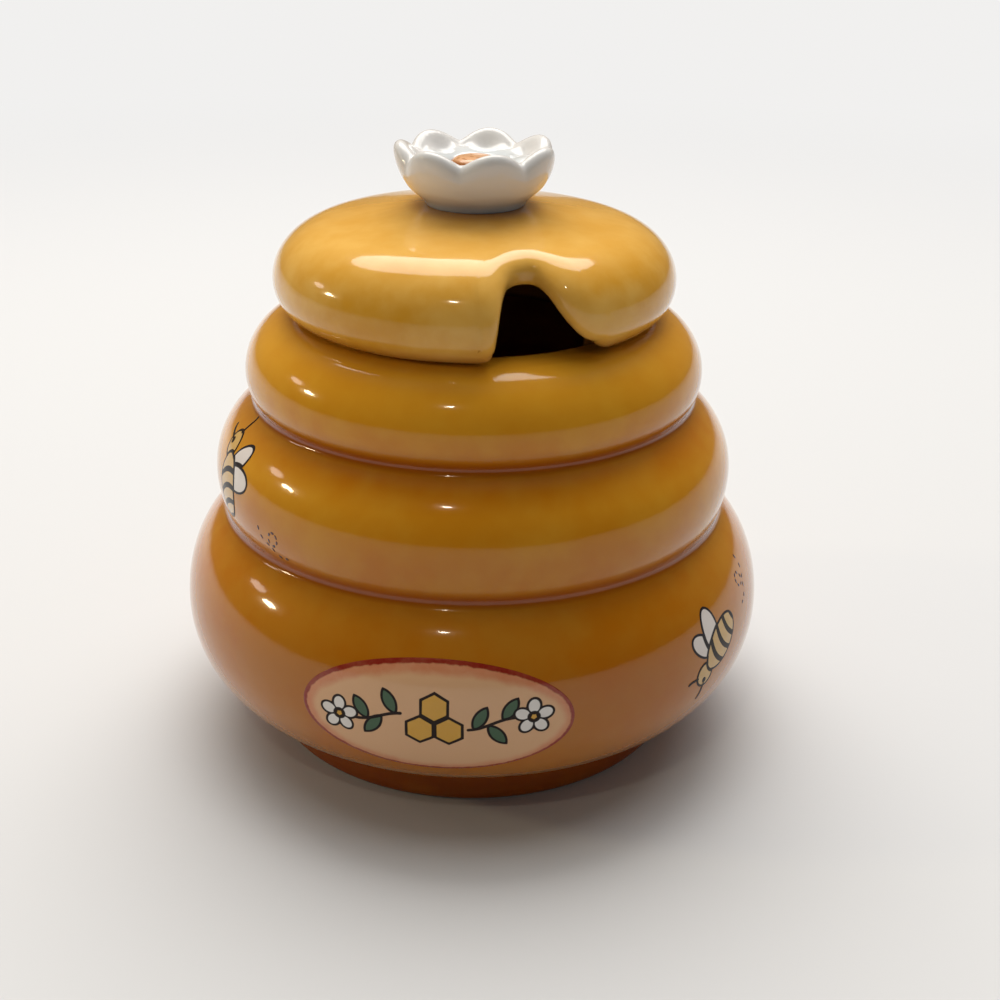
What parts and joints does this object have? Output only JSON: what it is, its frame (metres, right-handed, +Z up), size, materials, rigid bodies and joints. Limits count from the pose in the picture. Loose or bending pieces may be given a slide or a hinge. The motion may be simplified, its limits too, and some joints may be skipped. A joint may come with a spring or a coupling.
{
  "type": "honey pot with lid",
  "caption": "Round ceramic honey pot shaped as a ringed beehive, with a loose domed lid that has a dipper notch and a flower-shaped knob.",
  "frame": {"origin": "centre of the foot on the resting plane, on the pot's upright axis", "axes": "+Z up along the pot's axis, -Y towards the front with the oval label, +X to the viewer's right"},
  "size_m": [0.106, 0.1062, 0.1062],
  "materials": {
    "pot_glaze": "gloss",
    "lid_glaze": "gloss",
    "white_glaze": "gloss",
    "disc_glaze": "gloss",
    "label_colour": "gloss",
    "bee_colour": "gloss",
    "trail_colour": "gloss"
  },
  "bodies": {
    "pot": {"pot": "pot_glaze", "oval_label": "label_colour", "left_bee": "bee_colour", "right_bee": "bee_colour", "left_trail": "trail_colour", "right_trail": "trail_colour"},
    "lid": {"lid": "lid_glaze", "flower_knob": "white_glaze", "flower_disc": "disc_glaze"}
  },
  "joints": [
    {"name": "lid_lift", "type": "slide", "parent": "pot", "child": "lid", "axis": [0, 0, 1], "range_m": [0, 0.06]}
  ]
}
